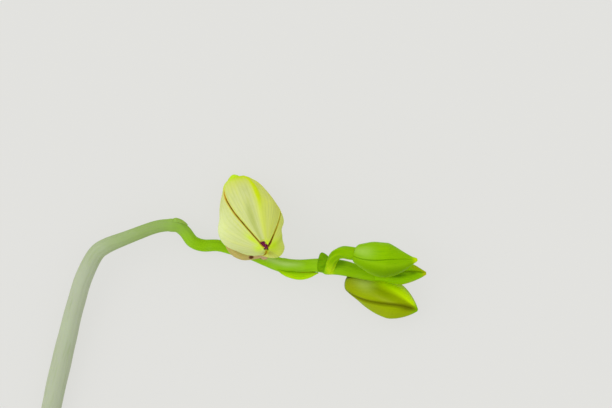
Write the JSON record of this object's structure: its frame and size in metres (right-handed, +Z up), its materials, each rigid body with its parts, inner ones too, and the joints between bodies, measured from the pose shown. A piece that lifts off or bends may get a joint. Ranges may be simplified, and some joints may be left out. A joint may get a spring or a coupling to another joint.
{
  "type": "orchid flower spike in bud",
  "caption": "Cut orchid flower spike lying on a surface: a bent green stem with small bracts, a large pale bud on a bowed stalk, and a cluster of smaller green buds at its end.",
  "frame": {"origin": "on the surface, under the middle of the spike's bounding box", "axes": "+X along the spike from its cut stem to its end buds, +Y towards the large bud, +Z up from the surface it lies on"},
  "size_m": [0.119, 0.0932, 0.0257],
  "materials": {
    "stem": "smooth waxy plant skin, soft sheen",
    "bract": "thin waxy scale",
    "tan_stalk": "smooth plant skin, tan with a pink foot",
    "green_stalk": "ribbed plant skin",
    "petals": "soft folded petals, dark maroon",
    "large_bud_skin": "satin pale yellow-green with fine veins",
    "green_bud_skin": "waxy green with fine lengthwise lines",
    "olive_bud_skin": "waxy olive green"
  },
  "bodies": {
    "root": {"stem": "stem", "bract_bend": "bract", "bract_lower_side": "bract", "bract_end_buds": "bract", "large_bud_stalk": "tan_stalk", "upper_bud_stalk": "green_stalk", "lower_bud_stalk": "green_stalk", "large_bud_petals": "petals", "large_bud_upper_sepal": "large_bud_skin", "large_bud_left_sepal": "large_bud_skin", "large_bud_right_sepal": "large_bud_skin", "upper_bud_sepal_1": "green_bud_skin", "upper_bud_sepal_2": "green_bud_skin", "upper_bud_sepal_3": "green_bud_skin", "tip_bud_sepal_1": "green_bud_skin", "tip_bud_sepal_2": "green_bud_skin", "tip_bud_sepal_3": "green_bud_skin", "lower_bud_sepal_1": "olive_bud_skin", "lower_bud_sepal_2": "olive_bud_skin", "lower_bud_sepal_3": "olive_bud_skin"}
  },
  "joints": []
}
